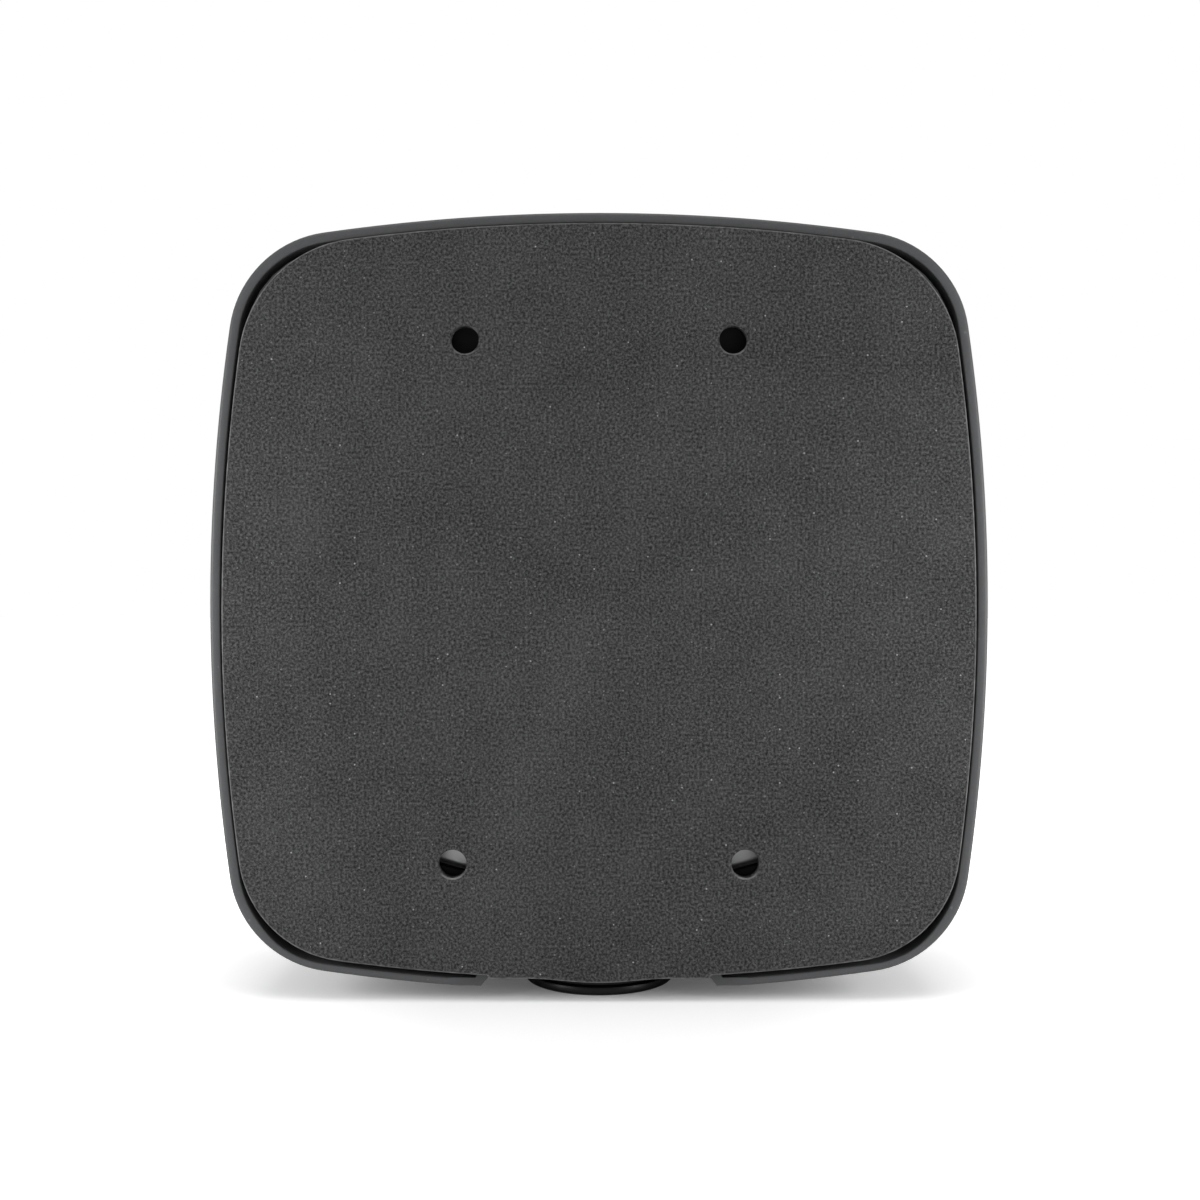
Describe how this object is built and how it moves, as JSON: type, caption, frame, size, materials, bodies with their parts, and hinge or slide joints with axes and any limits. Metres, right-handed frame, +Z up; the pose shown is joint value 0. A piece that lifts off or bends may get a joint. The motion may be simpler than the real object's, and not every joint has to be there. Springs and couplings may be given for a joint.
{
  "type": "ceiling access point",
  "caption": "Wireless access point for a wall or ceiling: rounded-square housing on a foam-backed mounting plate, with a round cable gland at its lower edge.",
  "frame": {"origin": "centre of the foam pad's wall face", "axes": "-Y into the wall, +Y out into the room, +X to the right seen from the wall side, +Z up, away from the cable gland"},
  "size_m": [0.16, 0.0442, 0.1621],
  "materials": {
    "shell_plastic": "satin",
    "foam": "matte",
    "plate_plastic": "matte",
    "cover_plastic": "matte",
    "black_plastic": "satin",
    "button_plastic": "satin",
    "white_plastic": "satin",
    "seal_rubber": "matte",
    "cast_metal": "satin",
    "can_aluminium": "satin",
    "screw_steel": "satin",
    "tinned_steel": "satin",
    "board": "satin",
    "chip_resin": "matte",
    "thermal_pad": "matte",
    "ferrite": "matte",
    "clear_plastic": "gloss",
    "led": "satin",
    "lead_jacket": "satin"
  },
  "bodies": {
    "wall_mount": {"wall_pad": "foam", "mount_plate": "plate_plastic"},
    "housing": {"antenna_bottom_left": "tinned_steel", "antenna_bottom_right": "tinned_steel", "antenna_carrier": "white_plastic", "antenna_lead_bottom_left": "lead_jacket", "antenna_lead_bottom_right": "lead_jacket", "antenna_lead_top_left": "lead_jacket", "antenna_lead_top_right": "lead_jacket", "antenna_top_left": "tinned_steel", "antenna_top_right": "tinned_steel", "back_cover": "cover_plastic", "board_screw_1": "screw_steel", "board_screw_2": "screw_steel", "board_screw_3": "screw_steel", "board_screw_4": "screw_steel", "capacitor_1": "can_aluminium", "capacitor_2": "can_aluminium", "coax_plug_bottom_left": "tinned_steel", "coax_plug_bottom_right": "tinned_steel", "coax_plug_top_left": "tinned_steel", "coax_plug_top_right": "tinned_steel", "cover_screw_1": "screw_steel", "cover_screw_2": "screw_steel", "cover_screw_3": "screw_steel", "cover_screw_4": "screw_steel", "cover_screw_5": "screw_steel", "cover_screw_6": "screw_steel", "cover_seal": "seal_rubber", "ethernet_jack": "tinned_steel", "gland_body": "black_plastic", "gland_gasket": "seal_rubber", "gland_lock_nut": "black_plastic", "gland_seal": "seal_rubber", "heat_sink": "cast_metal", "light_pipe": "clear_plastic", "magnetics": "chip_resin", "main_board": "board", "main_shell": "shell_plastic", "memory_chip_left": "chip_resin", "memory_chip_right": "chip_resin", "power_inductor": "ferrite", "processor": "chip_resin", "processor_pad": "thermal_pad", "radio_shield_left": "tinned_steel", "radio_shield_left_pad": "thermal_pad", "radio_shield_right": "tinned_steel", "radio_shield_right_pad": "thermal_pad", "reset_switch": "black_plastic", "sink_screw_1": "screw_steel", "sink_screw_2": "screw_steel", "sink_screw_3": "screw_steel", "sink_screw_4": "screw_steel", "sink_seal": "seal_rubber", "status_led": "led"},
    "gland_cap": {"gland_cap": "black_plastic"},
    "reset_button": {"reset_button": "button_plastic", "button_seal": "seal_rubber"}
  },
  "joints": [
    {"name": "housing_release", "type": "slide", "parent": "wall_mount", "child": "housing", "axis": [0, 1, 0], "range_m": [0, 0.04]},
    {"name": "gland_cap_turn", "type": "hinge", "parent": "housing", "child": "gland_cap", "pos_m": [0, 0.021, -0.081], "axis": [0, 0, 1], "continuous": true},
    {"name": "reset_button_press", "type": "slide", "parent": "housing", "child": "reset_button", "axis": [0, 0, 1], "range_m": [0, 0.0008], "stiffness_N_per_m": 600, "springref_m": -0.001}
  ]
}
